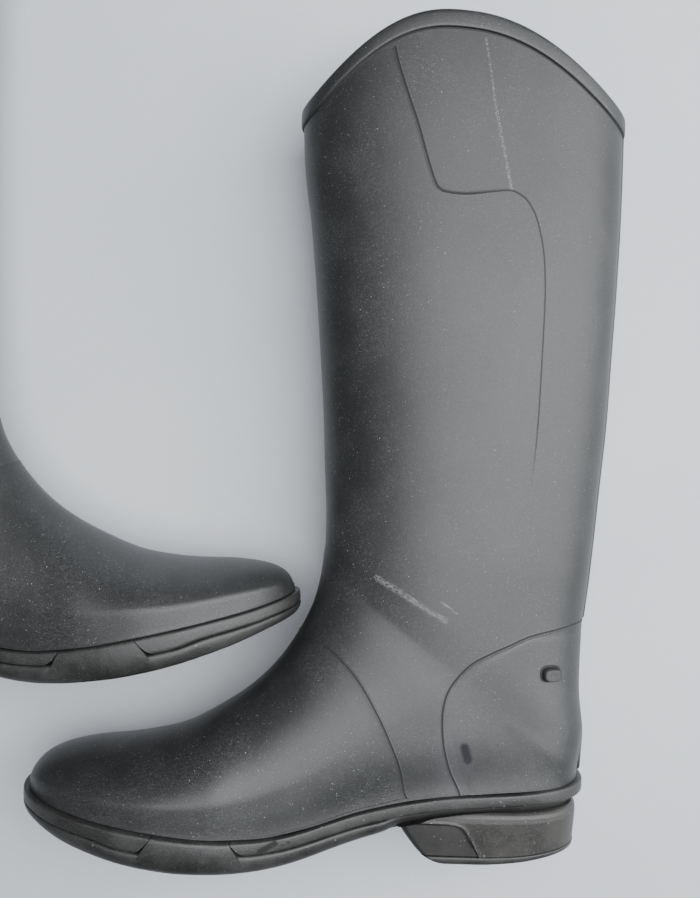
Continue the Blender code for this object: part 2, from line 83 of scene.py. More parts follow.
# stations of the upper from toe to top: front point x, z; back point x, z (None follows the
# sole); centre y; half width (None follows the sole); widest place; front and back roundness
STATIONS = (
    (287.3, 27, 287.3, None, -4.5, None, 0.4, 2.1, 3),
    (284.6, 32.2, 284.6, None, -4.4, None, 0.36, 2, 3.6),
    (280, 36.6, 280, None, -4.1, None, 0.33, 1.95, 4.4),
    (272, 40.4, 272, None, -3.6, None, 0.31, 1.9, 5),
    (258, 43.9, 258, None, -2.6, None, 0.29, 1.85, 5),
    (236, 47, 236, None, -1.4, None, 0.28, 1.8, 5),
    (212, 53.2, 212, None, -0.6, None, 0.28, 1.78, 5),
    (190, 65.1, 188, None, -0.4, None, 0.27, 1.76, 5),
    (173, 77.5, 166, None, -0.4, 42.5, 0.28, 1.76, 5),
    (160, 91, 142, None, -0.8, 39.5, 0.29, 1.78, 5),
    (151.5, 103.5, 116, None, -1.3, 37, 0.32, 1.82, 5),
    (146, 114, 88, None, -2, 35.5, 0.36, 1.88, 5),
    (142.5, 123, 60, None, -3, 34.9, 0.4, 1.94, 4.9),
    (140.6, 131, 32, None, -3.9, 34.6, 0.43, 2, 4.6),
    (139.4, 138.5, 12, None, -4.8, 34.4, 0.45, 2.03, 4.2),
    (138.8, 144, 1.2, 41, -5.4, 34.5, 0.46, 2.05, 3.6),
    (138.3, 149, 0.3, 60, -6, 34.7, 0.47, 2.08, 3),
    (138, 153.5, 2.3, 84, -6.5, 34.9, 0.48, 2.1, 2.6),
    (138, 158, 1.6, 109, -7, 35.1, 0.48, 2.1, 2.35),
    (138, 163, -1.2, 136, -7.6, 35.4, 0.48, 2.1, 2.2),
    (138.6, 175, -3.2, 158, -8.9, 36, 0.48, 2.1, 2.2),
    (139.6, 188, -5.2, 182, -10, 36.6, 0.48, 2.1, 2.2),
    (142, 222, -8.6, 222, -11.4, 37.7, 0.48, 2.1, 2.2),
    (145, 255, -10, 256, -11.7, 38.3, 0.48, 2.2, 2.2),
    (148, 288, -11.4, 290, -11.6, 38.4, 0.49, 2.2, 2.2),
    (152, 322, -12, 323, -11.8, 38.2, 0.5, 2.2, 2.2),
    (156.5, 352, -12, 352, -11.5, 37.7, 0.5, 2.2, 2.2),
    (158.3, 382, -12, 382, -11.2, 37.5, 0.5, 2.2, 2.2),
    (158.8, 430, -11.5, 430, -11.2, 37.5, 0.5, 2.2, 2.2),
)
UNDERSIDE = ((0, 26.5), (42, 25.4), (60, 24.1), (80, 21.2), (95, 17.8), (112, 12.5), (129, 7.1),
             (143, 2.7), (155, -0.3), (167, -1.9), (180, -2.4), (200, -2.1), (215, -1), (228, 0.5),
             (238, 2.1), (248, 4), (259, 6.3), (268, 8.6), (276, 10.6), (290, 13.4))
SEAT = ((0, 38.2), (17, 37.9), (42, 36.3), (57, 35.2), (72, 34), (86, 31.8), (101, 28.7),
        (115, 25.2), (130, 21), (144, 17.2), (155, 14.9), (167, 13.7), (179, 13.6), (190, 14.2),
        (204, 15.2), (218, 16.4), (228, 17.2), (238, 18.2), (249, 19.4), (260, 20.4), (269, 21.3),
        (276, 22.3), (290, 24.2))
SOLE_HALF_WIDTH = ((0, 33), (60, 35), (110, 35.5), (150, 42.5), (200, 50), (290, 50))
SOLE_CENTRE = ((0, -1.5), (110, -1), (205, 0), (250, -1.5), (290, -4.5))

# ---- lines on the outer side, as (x, z) seen from the side

VAMP_LINE = ((149.5, 107), (147.8, 106.5), (135.9, 104.5), (124.3, 96.1), (115.7, 86.5),
             (106.9, 72.3), (100.5, 59.3), (95.9, 47.9), (92.9, 35))
COUNTER_LINE = ((64, 25), (67.3, 36), (72.2, 46.3), (75.2, 56.3), (76.6, 66.2), (76.6, 76),
                (74.4, 84.6), (69.5, 92), (62.9, 98.7), (54.3, 103.7), (43.8, 108.5),
                (32.7, 113), (12.7, 116.8), (2, 118.5))
PIPING_LINE = ((112, 404), (110, 396), (104.5, 380), (99, 365), (94, 349), (90.4, 338.5), (88, 334),
               (84, 331.8), (74, 331), (62, 332.5), (52.5, 333.6), (47.5, 332), (43, 328.5),
               (39, 322), (36.4, 314), (34.2, 304), (33, 292), (32.6, 278), (33, 253), (34, 214),
               (36, 187))
PATH_STEP = 0.7                # between points along the grooves
PIPING_STRONG = 92.0           # length of the piping's bolder upper stretch
SPUR_REST = (22.8, 94.3)
PLATE_FRONT = (213.5, 219.4)   # the plate's front edge, x at its top and at its bottom
PLATE_REAR = (177.2, 171.8)
INNER_JOINT = 150.0
HEEL_PANEL = ((100, 20.2), (73, 20.2), (69, 19.9), (66, 19), (63.8, 17.4), (62.3, 15.2), (59, 9.6),
              (55.8, 4.0))
# sections of raised lines, as across, height and painted shade (darkness standing in for the shade in
# the groove): the counter's groove, the calf line
GROOVE = ((-1.4, -0.12, 0), (-0.8, 0.05, 0), (-0.52, 0.09, 0), (-0.42, 0.06, 1), (0.0, 0.03, 1),
          (0.42, 0.06, 1), (0.52, 0.15, 0), (0.9, 0.13, 0), (1.6, -0.12, 0))
PIPING = ((-1.5, -0.12, 0), (-0.95, 0.03, 0), (-0.62, 0.07, 0), (-0.5, 0.05, 1), (-0.22, 0.0, 1),
          (0.22, 0.0, 1), (0.5, 0.06, 1), (0.62, 0.1, 0), (0.95, 0.07, 0), (1.5, -0.12, 0))
# sections of the sole's edge, as inset and share of the height from the seat down
STRIP_PROFILE = ((4.4, 0.0), (1.0, 0.0), (0.5, 0.02), (0.15, 0.07), (0.0, 0.18), (0.0, 0.5),
                 (0.0, 0.78), (0.12, 0.9), (0.4, 0.96), (0.9, 1.0), (4.4, 1.0))
PLATE_PROFILE = ((4.4, 0.0), (1.0, 0.0), (0.4, 0.01), (0.0, 0.04), (-0.25, 0.12), (-0.3, 0.3),
                 (-0.2, 0.48), (0.15, 0.62), (0.8, 0.76), (1.8, 0.88), (3.0, 0.96), (5.0, 0.995))
# the heel's front edge, x at each level
HEEL_FRONT = ((0, 75), (1, 79), (2.4, 82.2), (4, 84.6), (10, 90), (17, 94.8), (23, 97.2))

# ---- lights: name, place, size and power

LIGHTS = (("overhead", (0.28, 0.08, 1.25), 1.2, 24.5), ("side_window", (1.25, 0.15, 0.85), 1.4, 29.5))
LIGHT_COLOUR = (0.97, 0.985, 1.0)
SKY_COLOUR = (0.80, 0.84, 0.95, 1.0)
SKY_STRENGTH = 0.08

# ---- the camera stands above this point of the left boot, looking straight down

CAMERA_OVER = (126.87, 202.42)
CAMERA_HEIGHT = 0.52
CAMERA_ROLL = math.radians(2.17)
FOCAL_SHARE = 896 / 898   # focal length over the frame's height
SENSOR = 24.0


def smooth_curve(knots, at):
    """A curve through the knots that doesn't overshoot between them."""
    xs, ys = np.array(knots, float).T[:2]
    steps = np.diff(xs)
    slopes = np.diff(ys) / steps
    before, after = slopes[:-1], slopes[1:]
    w1, w2 = 2 * steps[1:] + steps[:-1], steps[1:] + 2 * steps[:-1]
    rising = before * after > 0
    safe_before, safe_after = np.where(rising, before, 1.0), np.where(rising, after, 1.0)
    inner = np.where(rising, (w1 + w2) / (w1 / safe_before + w2 / safe_after), 0.0)
    tangents = np.concatenate(([slopes[0]], inner, [slopes[-1]]))
    at = np.clip(at, xs[0], xs[-1])
    i = np.clip(np.searchsorted(xs, at, side="right") - 1, 0, len(steps) - 1)
    h = steps[i]
    t = (at - xs[i]) / h
    return (ys[i] * (1 + 2 * t) * (1 - t) ** 2 + h * tangents[i] * t * (1 - t) ** 2
            + ys[i + 1] * t * t * (3 - 2 * t) - h * tangents[i + 1] * t * t * (1 - t))


def smooth_step(value, low, high):
    t = np.clip((value - low) / (high - low), 0, 1)
    return t * t * (3 - 2 * t)


# ---- the sole's plan and levels

def underside(x):
    return smooth_curve(UNDERSIDE, x)


def seat(x):
    return smooth_curve(SEAT, x)


def round_end(reach):
    roundness = 2.3
    return np.clip(1 - np.clip(reach, 0, 1) ** roundness, 0, 1) ** (1 / roundness)


def sole_half_width(x, inset):
    x = np.asarray(x, float)
    half = smooth_curve(SOLE_HALF_WIDTH, x) - inset
    toe_start, heel_start = 200.0, 42.0
    toe = round_end((x - toe_start) / (SOLE_LENGTH - inset - toe_start))
    heel = round_end((heel_start - x) / (heel_start - inset))
    return half * np.where(x > toe_start, toe, 1) * np.where(x < heel_start, heel, 1)


def plan_points(angle, inset):
    """Points x, y of the sole's outline: angle 0 at the toe, pi at the heel, plus is outside."""
    middle = SOLE_LENGTH / 2
    x = middle + (middle - inset) * np.cos(angle)
    half = np.maximum(sole_half_width(x, inset), 0.0)
    return x, smooth_curve(SOLE_CENTRE, x) + np.where(np.sin(angle) < 0, -half, half)


def wrapped(angle):
    return np.where(angle > math.pi, angle - 2 * math.pi, angle)


def plan_angle(x, inset):
    middle = SOLE_LENGTH / 2
    return np.arccos(np.clip((np.asarray(x, float) - middle) / (middle - inset), -1, 1))


# ---- the upper's surface

def station_table():
    rows = []
    for fx, fz, bx, bz, centre, half, widest, front_round, back_round in STATIONS:
        bz = float(seat(bx)) + BED if bz is None else bz
        half = float(sole_half_width(bx, WELT_INSET)) if half is None else half
        rows.append((fx, fz, bx, bz, centre, half, widest, front_round, back_round))
    return np.array(rows)


TABLE = station_table()


def station(s, columns=range(9)):
    numbers = np.arange(len(TABLE))
    return [smooth_curve(np.stack((numbers, TABLE[:, c]), axis=1), s) for c in columns]


def sag(s, angle):
    """Small dents and swells of a soft moulding, in millimetres, stronger up the leg."""
    strength = 0.08 + 0.2 * smooth_step(s, 18, 24)
    return strength * (0.6 * np.sin(1.3 * s + 1.5 * np.sin(angle + 0.4)) * np.cos(angle * 2 + 0.6)
                       + 0.3 * np.sin(2.3 * s + 1.3 + 2 * np.cos(angle)))


def wall_end(s):
    """Angle at which the wall meets the sole. Beyond it the ring runs flat across the sole, which
    happens only in the foot."""
    return math.radians(160) + math.radians(20) * smooth_step(s, 14.0, 17.0)


def upper_points(s, angle, depth=0.0):
    """Points of the upper at stations s, depth millimetres under its outer face. Angle 0 is the
    front or top, pi the back or bottom, and positive angles are the outer side."""
    s, angle, depth = np.broadcast_arrays(np.asarray(s, float), angle, depth)
    fx, fz, bx, bz, centre, half, widest, front_round, back_round = station(s)
    depth = depth - sag(s, angle)
    toe_shift = np.clip(1 - s / 5, 0, 1) * depth
    fx, bx = fx - toe_shift, bx - toe_shift
    length = np.hypot(fx - bx, fz - bz)
    along_x, along_z = (fx - bx) / length, (fz - bz) / length
    bx, bz = bx + along_x * depth, bz + along_z * depth
    length = length - 2 * depth
    half = np.maximum(half - depth, 0.05)
    end = wall_end(s)
    wall = np.minimum(np.abs(angle) / end, 1.0) * math.pi
    across_sole = np.clip((math.pi - np.abs(angle)) / np.maximum(math.pi - end, 1e-6), 0, 1)
    cosine, sine = np.cos(wall), np.abs(np.sin(wall))
    roundness = np.where(cosine > 0, front_round, back_round)
    reach = np.abs(cosine) ** (2 / roundness)
    rise = np.where(cosine > 0, widest + (1 - widest) * reach, widest * (1 - reach)) * length
    x, z = bx + along_x * rise, bz + along_z * rise
    swell = sine ** (2 / roundness) * half
    # near the sole the wall follows the sole's plan instead of closing like a tube
    sole = np.clip(smooth_step(z - seat(x), 30.0, 0.0) - np.clip(cosine, 0, 1) * 2, 0, 1)
    sole = sole * smooth_step(s, 17.5, 15.0)
    side = np.sign(angle)
    plan = np.maximum(sole_half_width(np.clip(x, 3.1, 286.9), WELT_INSET) - depth, 0.0)
    plan = plan + side * smooth_curve(SOLE_CENTRE, x)
    straight = half + side * centre
    target = 0.5 * (plan + straight - np.sqrt((plan - straight) ** 2 + 4.0)) + 0.5
    reach_out = side * centre + swell
    reach_out = reach_out + (target - reach_out) * sole
    middle = centre + (smooth_curve(SOLE_CENTRE, x) - centre) * sole
    flat = middle + (side * reach_out - middle) * across_sole
    return np.stack((x, flat, z), axis=-1)


def find_stations(shape, first, rounds, is_beyond):
    """Stations found by halving: is_beyond(s) says where the searched station is past s."""
    low, high = np.full(shape, first), np.full(shape, len(TABLE) - 1.0)
    for _ in range(rounds):
        middle = (low + high) / 2
        beyond = is_beyond(middle)
        low, high = np.where(beyond, middle, low), np.where(beyond, high, middle)
    return low


def on_upper(x, z):
    """Stations and angles of the outer side's points whose side views are (x, z)."""
    x, z = np.broadcast_arrays(np.asarray(x, float), z)

    def is_beyond(s):
        fx, fz, bx, bz = station(s, range(4))
        return (fx - bx) * (z - bz) - (fz - bz) * (x - bx) > 0

    low = find_stations(x.shape, 0.0, 32, is_beyond)
    fx, fz, bx, bz, _, _, widest, front_round, back_round = station(low)
    run = (fx - bx) ** 2 + (fz - bz) ** 2
    fraction = np.clip(((x - bx) * (fx - bx) + (z - bz) * (fz - bz)) / run, 0, 1)
    ahead = np.clip((fraction - widest) / (1 - widest), 0, 1) ** (front_round / 2)
    behind = np.clip(1 - fraction / widest, 0, 1) ** (back_round / 2)
    wall = np.where(fraction > widest, np.arccos(ahead), math.pi - np.arccos(behind))
    return low, wall * wall_end(low) / math.pi


def top_line(angle):
    """Height of the boot's top edge: a tall peak outside, a low one inside."""
    turn = np.abs(angle)
    rear = math.pi - (math.pi - turn) * math.pi / 2 / (math.pi - PEAK_ANGLE)
    turn = np.where(turn < PEAK_ANGLE, turn * math.pi / 2 / PEAK_ANGLE, rear)
    peak = np.where(angle > 0, OUTER_PEAK, INNER_PEAK)
    return TOP_FRONT + peak * np.clip(np.sin(turn), 0, 1) ** TOP_SHARPNESS


def leg_station(angle, height):
    """Station in the leg where the wall at this angle reaches a height."""
    angle, height = np.broadcast_arrays(np.asarray(angle, float), height)
    return find_stations(angle.shape, 15.0, 26, lambda s: upper_points(s, angle)[..., 2] < height)


# ---- meshes from grids of points

def run_along(points):
    """Length from the first row of points to each row."""
    steps = np.linalg.norm(np.diff(points, axis=0), axis=-1)
    return np.concatenate((np.zeros((1,) + steps.shape[1:]), np.cumsum(steps, axis=0)))


def grid_faces(rows, columns, wrap_rows=False, wrap_columns=False):
    r = np.arange(rows if wrap_rows else rows - 1)[:, None]
    c = np.arange(columns if wrap_columns else columns - 1)[None, :]
    r2, c2 = (r + 1) % rows, (c + 1) % columns
    quads = np.stack(np.broadcast_arrays(r * columns + c, r * columns + c2, r2 * columns + c2,
                                         r2 * columns + c), axis=-1)
    return quads.reshape(-1, 4).tolist()


def tube(grid, wrap_rows=False):
    """Solid whose rows are rings; its first and last rings are capped unless the rows wrap."""
    grid = np.asarray(grid)
    rows, columns = grid.shape[:2]
    faces = grid_faces(rows, columns, wrap_rows, True)
    if not wrap_rows:
        faces.append(list(range(columns)))
        faces.append(list(range((rows - 1) * columns, rows * columns)))
    return grid.reshape(-1, 3), faces


def slab(upper, lower):
    """Solid between two grids of points, joined round their edges."""
    return tube(np.concatenate((upper, lower[:, ::-1]), axis=1))


def join(*solids):
    points, faces, start = [], [], 0
    for some_points, some_faces in solids:
        points.append(some_points)
        faces += [[v + start for v in face] for face in some_faces]
        start += len(some_points)
    return np.concatenate(points), faces


class Boot:
    """Where one boot lies, worked out from two of its joints, and the materials it wears."""

    def __init__(self, name, flip, worn, shared_looks):
        joints = {j["name"]: j for j in frame["record"]["behaviour"]["joints"]}
        ankle = complex(*joints[name + "_ankle"]["pos_m"][:2]) / MM
        toe = complex(*joints[name + "_footbed_lift"]["pos_m"][:2]) / MM
        local_ankle = complex(flip * ANKLE_AXIS[0], ANKLE_AXIS[1])
        local_toe = complex(flip * FOOTBED_AXIS_X, float(seat(FOOTBED_AXIS_X)) + FOOTBED_LEVEL)
        self.name = name
        self.flip = flip
        self.turn = (toe - ankle) / (local_toe - local_ankle)
        self.turn /= abs(self.turn)
        self.place = ankle - self.turn * local_ankle
        self.looks = dict(shared_looks, rubber=rubber_look(name + "_rubber", worn),
                          sole=sole_look(name + "_sole_rubber", (1.0, 0.99, 0.98), worn))

    def world(self, points):
        """Points of the boot's own frame, in the row's frame."""
        points = np.asarray(points, float)
        spot = self.place + self.turn * (self.flip * points[..., 0] + 1j * points[..., 2])
        return np.stack((spot.real, spot.imag, points[..., 1] + INNER_SIDE), axis=-1) * MM

    def piece(self, name, solid, look, slot, nodes, body, painted_shade=None):
        """A finished piece: body is a body's short name, or two of them for a piece across the ankle,
        which is then baked in place and left unattached.
        """
        points, faces = solid
        mesh = bpy.data.meshes.new(self.name + "_" + name)
        mesh.from_pydata(self.world(points).tolist(), [], faces)
        # the per-point darkness attribute is painted shade, darkening grooves, seams and recesses where
        # shade falls
        painted_shade = np.zeros(len(points)) if painted_shade is None else painted_shade
        for key, kind, field, values in (("boot_mm", "FLOAT_VECTOR", "vector", points),
                                         ("painted_shade", "FLOAT", "value", painted_shade)):
            attribute = mesh.attributes.new(key, kind, "POINT")
            attribute.data.foreach_set(field, np.array(values, np.float32).ravel())
        work = bmesh.new()
        work.from_mesh(mesh)
        bmesh.ops.remove_doubles(work, verts=work.verts[:], dist=1e-6)
        bmesh.ops.recalc_face_normals(work, faces=work.faces[:])
        work.to_mesh(mesh)
        work.free()
        mesh.shade_smooth()
        mesh.set_sharp_from_angle(angle=math.radians(48))
        mesh.materials.append(self.looks[look])
        made = bpy.data.objects.new(self.name + "_" + name, mesh)
        bpy.context.scene.collection.objects.link(made)
        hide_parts(*[self.name + "_" + node for node in nodes])
        if isinstance(body, str):
            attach(made, self.name + "_" + body)
        else:
            low, high = self.world([(ANKLE_AXIS[0], 0, 148.0), (ANKLE_AXIS[0], 0, 190.0)])
            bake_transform(made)
        return made


# ---- the upper

def ring_angles(columns):
    return -math.pi + 2 * math.pi * (np.arange(columns) + 0.5) / columns


def upper_rows(angles, drop, toe_rows, foot_rows, leg_rows, first):
    """Stations of rows from the toe to a drop under the top line, one line for each angle."""
    toe = first + (5 - first) * np.linspace(0, 1, toe_rows, endpoint=False) ** 2
    foot = np.linspace(5, LEG_BOTTOM, foot_rows, endpoint=False)
    end = leg_station(angles, top_line(angles) - drop)
    leg = LEG_BOTTOM + (end - LEG_BOTTOM)[None, :] * np.linspace(0, 1, leg_rows)[:, None]
    lower = np.concatenate((toe, foot))[:, None] * np.ones(len(angles))[None, :]
    return np.concatenate((lower, leg))


def upper_wall(columns, drop, first, outer, inner):
    """Wall of the whole upper. outer and inner give each face's depth and counts of rows."""
    angles = ring_angles(columns)
    faces = [upper_points(upper_rows(angles, drop, *rows, first), angles, depth)
             for depth, rows in (outer, inner)]
    return tube(np.concatenate((faces[0], faces[1][::-1])))


def make_skin(boot):
    """The moulded rubber wall from toe to top, in one piece."""
    solid = upper_wall(176, 3.0, 0.0, (0.0, (36, 118, 104)), (WALL, (12, 30, 24)))
    boot.piece("upper", solid, "rubber", "upper_rubber", ("shaft", "ankle_flex", "foot_shell"),
               ("lower", "leg"))


def make_lining(boot):
    """Knitted lining bonded to the inside of the wall, seen down the leg."""
    solid = upper_wall(120, 3.4, 0.6, (WALL + 0.1, (10, 24, 20)), (WALL + 1.5, (16, 60, 60)))
    boot.piece("lining", solid, "lining", "lining_textile", ("foot_lining", "leg_lining"),
               ("lower", "leg"))


def make_binding(boot):
    """Thick rounded rim round the top edge, with a seam line under it darkened by painted shadow."""
    angles = ring_angles(220)
    seam = ((BINDING_HEIGHT + 1.6, 0.5), (BINDING_HEIGHT + 0.95, -0.02), (BINDING_HEIGHT + 0.9, -0.03),
            (BINDING_HEIGHT + 0.1, -0.03), (BINDING_HEIGHT, -0.1))
    face = ((BINDING_HEIGHT - 0.03, -0.7), (9.0, -1.02), (8.6, -1.2), (7.6, -1.3), (5.0, -1.34),
            (2.6, -1.3), (1.4, -1.15), (0.8, -0.8), (0.25, -0.2), (0.0, 0.7), (0.05, 2.0),
            (0.4, 3.2), (1.2, 4.0), (2.6, 4.6), (5.0, 4.9), (8.5, 4.9), (9.6, 4.7), (10.4, 4.2),
            (10.8, 3.4))
    grid = [upper_points(leg_station(angles, top_line(angles) - drop), angles, depth)
            for drop, depth in seam + face]
    # painted shadow under the rim's lower edge, along the seam rows
    painted_shade = [0, 0, 1, 1, 1] + [0] * len(face)
    boot.piece("rim", tube(grid, True), "rubber", "binding_rubber", ("top_binding",), "leg",
               np.repeat(painted_shade, len(angles)))


def vamp_edge(angles):
    """Station of the vamp's rear edge at each angle, the same on both sides."""
    x, z = smooth_path(VAMP_LINE, 0.8).T
    s, turn = on_upper(x, z)
    order = np.argsort(turn)
    return np.interp(np.abs(angles), turn[order], s[order])


def make_vamp(boot):
    """Front panel over the toe. Its rear edge is a soft dip that ends in a thin raised lip, with painted
    shade in the dip.
    """
    limit = math.radians(150)
    angles = np.linspace(-limit, limit, 190)
    end = vamp_edge(angles)
    fine = np.linspace(0, 1, 240)[:, None] * end[None, :]
    run = run_along(upper_points(fine, angles[None, :]))
    near = np.array([0, 0.12, 0.3, 0.5, 0.75, 1.05, 1.4, 1.9, 2.6, 3.6, 5.0, 7.0, 9.5])
    far = np.linspace(0, 1, 92)[1:]
    stations = np.empty((len(near) + len(far), len(angles)))
    distance = np.empty_like(stations)
    for c in range(len(angles)):
        total = run[-1, c]
        toe_end = 5 * (1 - far) ** 2 if end[c] > 5 else end[c] * (1 - far)
        body = total - near
        stations[:len(near), c] = np.interp(body, run[:, c], fine[:, c])
        start = stations[len(near) - 1, c]
        rest = np.where(far < 0.6, start + (5 - start) * far / 0.6, 5 * ((1 - far) / 0.4) ** 2)
        stations[len(near):, c] = rest if start > 5 else toe_end
        distance[:, c] = total - np.interp(stations[:, c], fine[:, c], run[:, c])
    height = np.interp(distance, [0, 0.12, 0.4, 0.75, 1.2, 2.2, 5, 11],
                       [-0.4, 0.16, 0.42, 0.38, 0.12, 0.06, 0.12, 0.18])
    height = height - 0.9 * smooth_step(np.abs(angles), math.radians(132), limit)[None, :]
    # painted shade along the dip behind the lip
    painted_shade = np.interp(distance, [0, 0.8, 1.3, 3.5, 8], [0.0, 0.0, 0.35, 0.16, 0])
    boot.piece("vamp", raised(stations, angles[None, :], height, 0.9), "rubber", "upper_rubber",
               ("vamp_panel",), "lower", upper_shade(painted_shade, painted_shade.shape))


def upper_shade(painted_shade, shape):
    """Painted shade on a raised piece's upper face, and none on its lower one."""
    return np.concatenate((np.broadcast_to(painted_shade, shape), np.zeros(shape)), axis=1)


def raised(s, angle, height, root=0.8):
    """Thin solid that stands height millimetres proud of the wall and is rooted inside it."""
    return slab(upper_points(s, angle, -height), upper_points(s, angle, root))


def smooth_path(knots, step):
    """Evenly spaced points on a smooth curve through the knots."""
    knots = np.array(knots, float)
    ends = np.concatenate(([2 * knots[0] - knots[1]], knots, [2 * knots[-1] - knots[-2]]))
    points = []
    for i in range(1, len(ends) - 2):
        p0, p1, p2, p3 = ends[i - 1:i + 3]
        for t in np.linspace(0, 1, 24, endpoint=False):
            points.append(0.5 * (2 * p1 + (p2 - p0) * t + (2 * p0 - 5 * p1 + 4 * p2 - p3) * t * t
                                 + (3 * p1 - 3 * p2 + p3 - p0) * t ** 3))
    points = np.array(points + [knots[-1]])
    run = run_along(points)
    even = np.linspace(0, run[-1], int(run[-1] / step) + 2)
    return np.stack((np.interp(even, run, points[:, 0]), np.interp(even, run, points[:, 1])), axis=1)


def ribbon(path, profile, strength, inner_side=False):
    """Thin raised strip along a side-view path. profile is across, height and painted shade."""
    ahead = np.gradient(path, axis=0)
    ahead /= np.linalg.norm(ahead, axis=1)[:, None]
    side = np.stack((-ahead[:, 1], ahead[:, 0]), axis=1)
    across, height, painted_shade = np.array(profile).T
    reach = across[None, :] * strength[:, None]
    spots = path[:, None, :] + side[:, None, :] * reach[:, :, None]
    s, angle = on_upper(spots[..., 0], spots[..., 1])
    if inner_side:
        angle = -angle
    height = height[None, :] * np.minimum(strength[:, None] + 0.2, 1.0)
    return raised(s, angle, height), upper_shade(painted_shade, s.shape)


def make_counter(boot):
    """Stiffening panel round the back of the heel, with a groove round its edge darkened by painted
    shadow.
    """
    path = smooth_path(COUNTER_LINE, PATH_STEP)
    full = np.ones(len(path))
    outer, outer_shade = ribbon(path, GROOVE, full)
    inner, inner_shade = ribbon(path, GROOVE, full, inner_side=True)
    rows, columns = 76, 44
    z = np.linspace(26.5, 114.5, rows)
    rising = path[np.argsort(path[:, 1])]
    edge = np.interp(z, rising[:, 1], rising[:, 0]) - 1.4
    back = np.interp(z, TABLE[15:20, 3], TABLE[15:20, 2]) - 2.0
    reach = np.linspace(0, 1, columns) ** 1.7
    x = back[:, None] + (edge - back)[:, None] * reach[None, :]
    s, angle = on_upper(x, np.broadcast_to(z[:, None], x.shape))
    s = np.concatenate((s[:, ::-1], s[:, 1:]), axis=1)
    angle = np.concatenate((angle[:, ::-1], -angle[:, 1:]), axis=1)
    side = np.abs(np.linspace(-1, 1, 2 * columns - 1))
    fade = smooth_step(side, 1.0, 0.93)[None, :] * smooth_step(z, 114.5, 110)[:, None]
    panel = raised(s, angle, 0.34 * fade - 0.15)
    shade = np.concatenate((outer_shade.ravel(), inner_shade.ravel(), np.zeros(len(panel[0]))))
    boot.piece("heel_counter_panel", join(outer, inner, panel), "rubber", "upper_rubber",
               ("heel_counter",), "lower", shade)


def make_stay(boot):
    """Narrow raised strip up the back seam, from the counter's top to the rim."""
    end = TOP_FRONT - BINDING_HEIGHT - 0.4
    z = np.concatenate((118.0 + np.array([0, 0.25, 0.6, 1.1]), np.linspace(120.5, end, 150)))
    rise = np.interp(z, [118, 118.25, 118.6, 119.4, 121], [-0.3, 0.5, 0.9, 1.0, 1.0])
    across = np.array([-5.6, -5.4, -5.0, -4.3, -3.2, -1.6, 0, 1.6, 3.2, 4.3, 5.0, 5.4, 5.6])
    height = np.array([-0.5, 0.1, 0.6, 0.95, 1.12, 1.2, 1.22, 1.2, 1.12, 0.95, 0.6, 0.1, -0.5])
    s = leg_station(math.pi, z)
    half = station(s, (5,))[0]
    turn = np.sign(across) * (np.abs(across)[None, :] / half[:, None]) ** 1.1
    solid = raised(s[:, None], wrapped(math.pi - turn), height[None, :] * rise[:, None])
    boot.piece("back_seam_strip", solid, "rubber", "upper_rubber", ("back_stay",), ("lower", "leg"))


def make_piping(boot):
    """Groove that outlines the calf panel, bold above and fading out below, darkened by painted shade.
    """
    path = smooth_path(PIPING_LINE, PATH_STEP)
    run = np.arange(len(path)) * PATH_STEP
    strength = np.interp(run, [0, PIPING_STRONG, PIPING_STRONG + 14, run[-1] - 22, run[-1]],
                         [1.15, 1.1, 0.75, 0.65, 0.15])
    solid, shade = ribbon(path, PIPING, strength)
    # the painted shade fades with the groove
    fade = np.interp(run, [0, PIPING_STRONG, PIPING_STRONG + 14, run[-1] - 30, run[-1]],
                     [1, 1, 0.9, 0.8, 0.2])
    boot.piece("calf_line", solid, "rubber", "upper_rubber", ("calf_piping",), "leg",
               (shade * fade[:, None]).ravel())


def make_spur_rest(boot):
    """Small oblong block above the heel, with rounded ends and edges, darkened by painted shade: most
    round its base, as a painted shadow, less on its top.
    """
    turn = np.linspace(0, 2 * math.pi, 48, endpoint=False)
    # rings as scale, height and painted shade
    rings = ((1.3, -0.6, 1), (1.24, 0.3, 1), (1.12, 0.36, 1.0), (1.02, 0.4, 1.0),
             (1.0, 1.5, 1.0), (0.96, 2.3, 0.9), (0.88, 2.7, 0.5), (0.74, 2.85, 0.3), (0.5, 2.8, 0.3),
             (0.25, 2.75, 0.3), (0.03, 2.75, 0.3))
    cosine, sine = np.cos(turn), np.sin(turn)
    wide = np.sign(cosine) * np.abs(cosine) ** 0.62 * 4.6
    tall = np.sign(sine) * np.abs(sine) ** 0.62 * 3.2
    grid, shade = [], []
    for scale, height, painted_shade in rings:
        grow = (scale - 1) * 4.0 if scale > 1 else 0.0
        ratio = min(scale, 1.0)
        x = SPUR_REST[0] + wide * ratio + np.sign(wide) * grow * np.abs(cosine)
        z = SPUR_REST[1] + tall * ratio + np.sign(tall) * grow * np.abs(sine)
        s, angle = on_upper(x, z)
        grid.append(upper_points(s, angle, -height))
        shade.append(np.full(len(turn), float(painted_shade)))
    boot.piece("spur_knob", tube(grid), "rubber", "upper_rubber", ("spur_rest",), "lower",
               np.concatenate(shade))


# ---- the sole

def strip_height(x):
    """The strips are taller beside the plate and lower round the toe."""
    return smooth_curve(((0, 6), (196, 6), (213, 8.2), (230, 8.2), (246, 6.6), (290, 5.6)), x)


def sweep(profile, first, last, count, bottom):
    """Solid along the sole's edge. profile is inset and share of the height from the seat down to
    bottom(x); first and last give the outline angle where each profile point starts and ends."""
    insets, shares = np.array(profile, float).T
    run = np.linspace(0, 1, count)[:, None]
    angle = wrapped(first[None, :] + (last - first)[None, :] * run)
    x, y = plan_points(angle, insets[None, :])
    z = seat(x) + (bottom(x) - seat(x)) * shares[None, :]
    return tube(np.stack((x, y, z), axis=-1))


